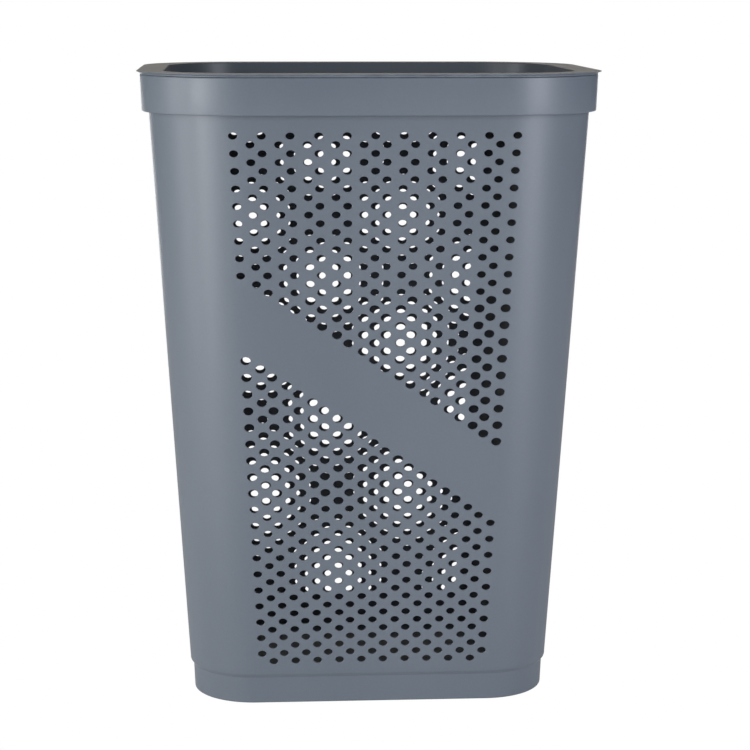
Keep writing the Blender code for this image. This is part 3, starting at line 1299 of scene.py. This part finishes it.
# %% The room
FLOOR_SIZE = 12.0
FLOOR_COLOUR = (0.80, 0.80, 0.80, 1.0)
BACKDROP = (1.0, 1.0, 1.0, 1.0)
ROOM_COLOUR = (1.0, 0.98, 0.95, 1.0)
ROOM_LIGHT = 0.04
FLOOR_GLOW = 0.10
AIM = Vector((0.0, 0.0, 0.32))


def make_floor():
    """The floor bounces light up, and the camera sees the white backdrop through it."""
    bpy.ops.mesh.primitive_plane_add(size=FLOOR_SIZE, location=(0.0, 0.0, -GAP))
    floor = bpy.context.active_object
    floor.name = "studio_floor"
    material = bpy.data.materials.new("studio floor")
    material.use_nodes = True
    shader = material.node_tree.nodes["Principled BSDF"]
    shader.inputs["Base Color"].default_value = FLOOR_COLOUR
    shader.inputs["Roughness"].default_value = 0.9
    shader.inputs["Emission Color"].default_value = BACKDROP
    shader.inputs["Emission Strength"].default_value = FLOOR_GLOW
    floor.data.materials.append(material)
    floor.visible_camera = False


def make_world():
    """White to the camera, and a dim warm grey room as light on the hamper."""
    world = bpy.data.worlds.new("studio")
    bpy.context.scene.world = world
    world.use_nodes = True
    tree = world.node_tree
    background = tree.nodes["Background"]
    path = tree.nodes.new("ShaderNodeLightPath")
    seen = path.outputs["Is Camera Ray"]
    colour = blend_colours(tree, seen, ROOM_COLOUR, BACKDROP)
    tree.links.new(colour, background.inputs["Color"])
    tree.links.new(spread(tree, seen, 0.0, 1.0, ROOM_LIGHT, 1.0), background.inputs["Strength"])


make_floor()
make_world()
print("floor", FLOOR_SIZE, "m across, room light", ROOM_LIGHT)

# %% Soft boxes
TALL = (0.7, 1.9)
SLIM = (0.3, 1.2)
LOW = (0.8, 0.35)
WIDE = (2.6, 1.2)
LONG = (2.6, 0.66)
WHITE = (1.0, 1.0, 1.0)
COOL = (0.95, 0.98, 1.05)
WARM = (1.0, 0.93, 0.84)


def soft_box(name, turn, rise, distance, size, power, colour):
    """A panel of light that faces the hamper; turn is degrees to the right of the front."""
    level = distance * math.cos(math.radians(rise))
    place = AIM + Vector((
        level * math.sin(math.radians(turn)),
        -level * math.cos(math.radians(turn)),
        distance * math.sin(math.radians(rise)),
    ))
    light = bpy.data.lights.new(name, "AREA")
    light.shape = "RECTANGLE"
    light.size, light.size_y = size
    light.energy = power
    light.color = colour
    obj = new_object(name, light)
    obj.location = place
    obj.rotation_euler = (AIM - place).to_track_quat("-Z", "Y").to_euler()


BOXES = (
    ("left_front", -35, 8, 2.3, TALL, 4.0, WHITE),
    ("left_near", -45, 12, 2.3, TALL, 12.5, WHITE),
    ("left_slim", -54, 4, 2.3, SLIM, 16.9, WHITE),
    ("left_far", -80, 12, 2.3, TALL, 19.0, WHITE),
    ("left_low", -62, -6, 1.3, LOW, 0.8, WHITE),
    ("right_near", 45, 12, 2.3, TALL, 31.0, COOL),
    ("right_far", 60, 12, 2.3, TALL, 4.0, COOL),
    ("right_low", 48, -6, 1.3, LOW, 0.8, COOL),
    ("back_high", 180, 33, 2.9, WIDE, 14.0, WARM),
    ("back_low", 180, -2, 2.6, LONG, 15.0, WHITE),
)
for box in BOXES:
    soft_box(*box)

# %% [markdown]
# ## Camera
# A long lens about two metres in front, a little left of the middle and just above the lid,
# so that the lid's rim is seen almost edge on.

# %% Camera
CAMERA_PLACE = (-0.1259, MIDDLE_Y - 2.1398, 0.6788)
CAMERA_TURN = 3.653
CAMERA_DIP = 9.994
CAMERA_ROLL = 0.085
CAMERA_LENS = 103.42


def make_camera():
    data = bpy.data.cameras.new("camera")
    data.sensor_width = 36.0
    data.lens = CAMERA_LENS
    camera = new_object("camera", data)
    camera.location = CAMERA_PLACE
    turn = Matrix.Rotation(math.radians(-CAMERA_TURN), 4, "Z")
    dip = Matrix.Rotation(math.radians(90 - CAMERA_DIP), 4, "X")
    roll = Matrix.Rotation(math.radians(CAMERA_ROLL), 4, "Z")
    camera.rotation_euler = (turn @ dip @ roll).to_euler()
    bpy.context.scene.camera = camera


make_camera()
bpy.context.scene.view_settings.view_transform = "Standard"
print("camera at", CAMERA_PLACE, "lens", CAMERA_LENS, "mm")
